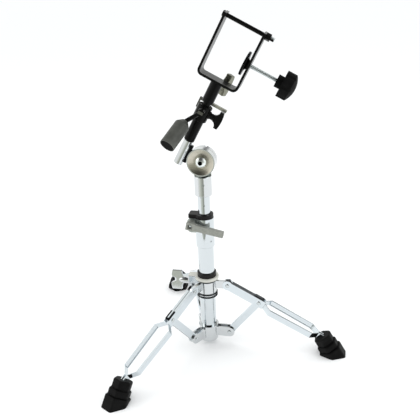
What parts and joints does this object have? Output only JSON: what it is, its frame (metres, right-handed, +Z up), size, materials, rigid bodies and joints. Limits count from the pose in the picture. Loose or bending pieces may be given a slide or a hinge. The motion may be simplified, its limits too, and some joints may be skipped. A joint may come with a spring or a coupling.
{
  "type": "percussion clamp stand",
  "caption": "Folding double-braced tripod stand with a telescoping pole, a tilter and a U-shaped screw clamp that holds a practice pad or block.",
  "frame": {"origin": "on the floor, on the axis of the pole", "axes": "+Z up along the pole, +X along leg b, the way the arm leans; the tilter turns about Y"},
  "size_m": [0.3441, 0.3958, 0.5317],
  "materials": {
    "chrome_tube": "bright chrome plate",
    "chrome_leg": "bright chrome plate on pressed strip",
    "chrome_cast": "chrome plate on a casting",
    "steel_fastener": "bright zinc or chrome plate",
    "grey_cast": "matte blasted casting",
    "black_nylon": "satin nylon",
    "black_rubber": "matte rubber",
    "black_paint": "satin black powder coat",
    "black_plastic": "satin moulded plastic",
    "grip_plastic": "dark grey satin plastic",
    "grip_plug": "black",
    "bright_badge": "plain bright"
  },
  "bodies": {
    "base": {"base_tube": "chrome_tube", "lower_hub": "chrome_cast", "hub_rivets": "steel_fastener", "height_collar": "chrome_tube", "height_set_screw": "steel_fastener", "height_bushing": "black_nylon", "height_bolt": "steel_fastener", "height_nut": "steel_fastener"},
    "leg_carrier": {"leg_bracket": "chrome_cast", "bracket_rivets": "steel_fastener", "base_collar": "chrome_cast", "base_bushing": "black_nylon"},
    "base_wing": {"base_wing_screw": "chrome_cast"},
    "leg_a": {"leg_a_left": "chrome_leg", "leg_a_right": "chrome_leg", "leg_a_strut_rivet": "steel_fastener", "foot_a": "black_rubber"},
    "leg_b": {"leg_b_left": "chrome_leg", "leg_b_right": "chrome_leg", "leg_b_strut_rivet": "steel_fastener", "foot_b": "black_rubber"},
    "leg_c": {"leg_c_left": "chrome_leg", "leg_c_right": "chrome_leg", "leg_c_strut_rivet": "steel_fastener", "foot_c": "black_rubber"},
    "strut_a": {"strut_a": "chrome_leg"},
    "strut_b": {"strut_b": "chrome_leg"},
    "strut_c": {"strut_c": "chrome_leg"},
    "clamp_lever": {"height_lever": "grey_cast"},
    "upper_pole": {"upper_tube": "chrome_tube"},
    "tilter_socket": {"tilter_base": "chrome_cast", "socket_screw": "steel_fastener", "tilter_bolt": "steel_fastener", "tilter_nut": "steel_fastener"},
    "tilt_head": {"tilter_head": "chrome_cast", "arm_sleeve": "black_paint", "arm_collar": "black_paint", "clamp_bar": "chrome_cast", "clamp_bar_screw": "steel_fastener"},
    "arm_wing": {"arm_wing_screw": "black_paint"},
    "grip_lever": {"lever_shank": "black_paint", "lever_badge": "bright_badge", "lever_grip": "grip_plastic", "lever_grip_cap": "grip_plug"},
    "stem": {"arm_stem": "black_paint"},
    "rear_wing": {"rear_wing_screw": "chrome_cast"},
    "jaw": {"jaw_bracket": "black_paint", "jaw_peg": "black_paint", "cross_rod": "black_paint", "cross_nut": "black_paint"},
    "pressure_pad": {"pressure_plate": "black_paint"},
    "jaw_drive": {"jaw_screw": "steel_fastener", "jaw_knob": "black_plastic"}
  },
  "joints": [
    {"name": "leg_spread", "type": "slide", "parent": "base", "child": "leg_carrier", "axis": [0, 0, 1], "range_m": [-0.005, 0.028]},
    {"name": "leg_a_fold", "type": "hinge", "parent": "leg_carrier", "child": "leg_a", "pos_m": [-0.017, -0.02944, 0.111], "axis": [0.866, -0.5, 0], "range_deg": [-4.27, 23.45]},
    {"name": "leg_b_fold", "type": "hinge", "parent": "leg_carrier", "child": "leg_b", "pos_m": [0.034, 0, 0.111], "axis": [0, 1, 0], "range_deg": [-4.27, 23.45]},
    {"name": "leg_c_fold", "type": "hinge", "parent": "leg_carrier", "child": "leg_c", "pos_m": [-0.017, 0.02944, 0.111], "axis": [-0.866, -0.5, 0], "range_deg": [-4.27, 23.45]},
    {"name": "strut_a_fold", "type": "hinge", "parent": "base", "child": "strut_a", "pos_m": [-0.01775, -0.03074, 0.0255], "axis": [0.866, -0.5, 0], "range_deg": [-13.25, 2.45]},
    {"name": "strut_b_fold", "type": "hinge", "parent": "base", "child": "strut_b", "pos_m": [0.0355, 0, 0.0255], "axis": [0, 1, 0], "range_deg": [-13.25, 2.45]},
    {"name": "strut_c_fold", "type": "hinge", "parent": "base", "child": "strut_c", "pos_m": [-0.01775, 0.03074, 0.0255], "axis": [-0.866, -0.5, 0], "range_deg": [-13.25, 2.45]},
    {"name": "base_wing_turn", "type": "hinge", "parent": "leg_carrier", "child": "base_wing", "pos_m": [-0.03, 0, 0.1145], "axis": [-1, 0, 0], "continuous": true},
    {"name": "clamp_lever_swing", "type": "hinge", "parent": "base", "child": "clamp_lever", "pos_m": [-0.0186, -0.012, 0.2186], "axis": [0, 1, 0], "range_deg": [-110, 25]},
    {"name": "pole_height", "type": "slide", "parent": "base", "child": "upper_pole", "axis": [0, 0, 1], "range_m": [-0.025, 0.09]},
    {"name": "head_turn", "type": "hinge", "parent": "upper_pole", "child": "tilter_socket", "pos_m": [0, 0, 0.275], "axis": [0, 0, 1], "continuous": true},
    {"name": "head_tilt", "type": "hinge", "parent": "tilter_socket", "child": "tilt_head", "pos_m": [0, 0, 0.318], "axis": [0, 1, 0], "range_deg": [-45, 62]},
    {"name": "arm_wing_turn", "type": "hinge", "parent": "tilt_head", "child": "arm_wing", "pos_m": [0.01503, 0, 0.38589], "axis": [0.8829, 0, -0.4695], "continuous": true},
    {"name": "grip_lever_swing", "type": "hinge", "parent": "tilt_head", "child": "grip_lever", "pos_m": [0.00579, -0.017, 0.39534], "axis": [0, 1, 0], "range_deg": [-75, 60]},
    {"name": "arm_length", "type": "slide", "parent": "tilt_head", "child": "stem", "axis": [0.4695, 0, 0.8829], "range_m": [0, 0.025]},
    {"name": "rear_wing_turn", "type": "hinge", "parent": "stem", "child": "rear_wing", "pos_m": [0.02875, 0.00863, 0.42956], "axis": [0.3871, 0.8988, -0.2058], "range_deg": [-25, 25]},
    {"name": "jaw_swivel", "type": "hinge", "parent": "stem", "child": "jaw", "pos_m": [0.02691, 0, 0.43507], "axis": [0.4695, 0, 0.8829], "range_deg": [-50, 3]},
    {"name": "jaw_travel", "type": "slide", "parent": "jaw", "child": "pressure_pad", "axis": [-0.8829, 0, 0.4695], "range_m": [0, 0.0402]},
    {"name": "jaw_screw_turn", "type": "hinge", "parent": "pressure_pad", "child": "jaw_drive", "pos_m": [0.07443, 0, 0.45669], "axis": [-0.8829, 0, 0.4695], "range_deg": [0, 14400]}
  ],
  "couplings": [
    {"joint": "leg_a_fold", "follows": "leg_spread", "rad_per_m": 14.552},
    {"joint": "leg_b_fold", "follows": "leg_spread", "rad_per_m": 14.552},
    {"joint": "leg_c_fold", "follows": "leg_spread", "rad_per_m": 14.552},
    {"joint": "strut_a_fold", "follows": "leg_spread", "rad_per_m": -8.1985},
    {"joint": "strut_b_fold", "follows": "leg_spread", "rad_per_m": -8.1985},
    {"joint": "strut_c_fold", "follows": "leg_spread", "rad_per_m": -8.1985},
    {"joint": "jaw_travel", "follows": "jaw_screw_turn", "m_per_rad": 0.00015915}
  ]
}
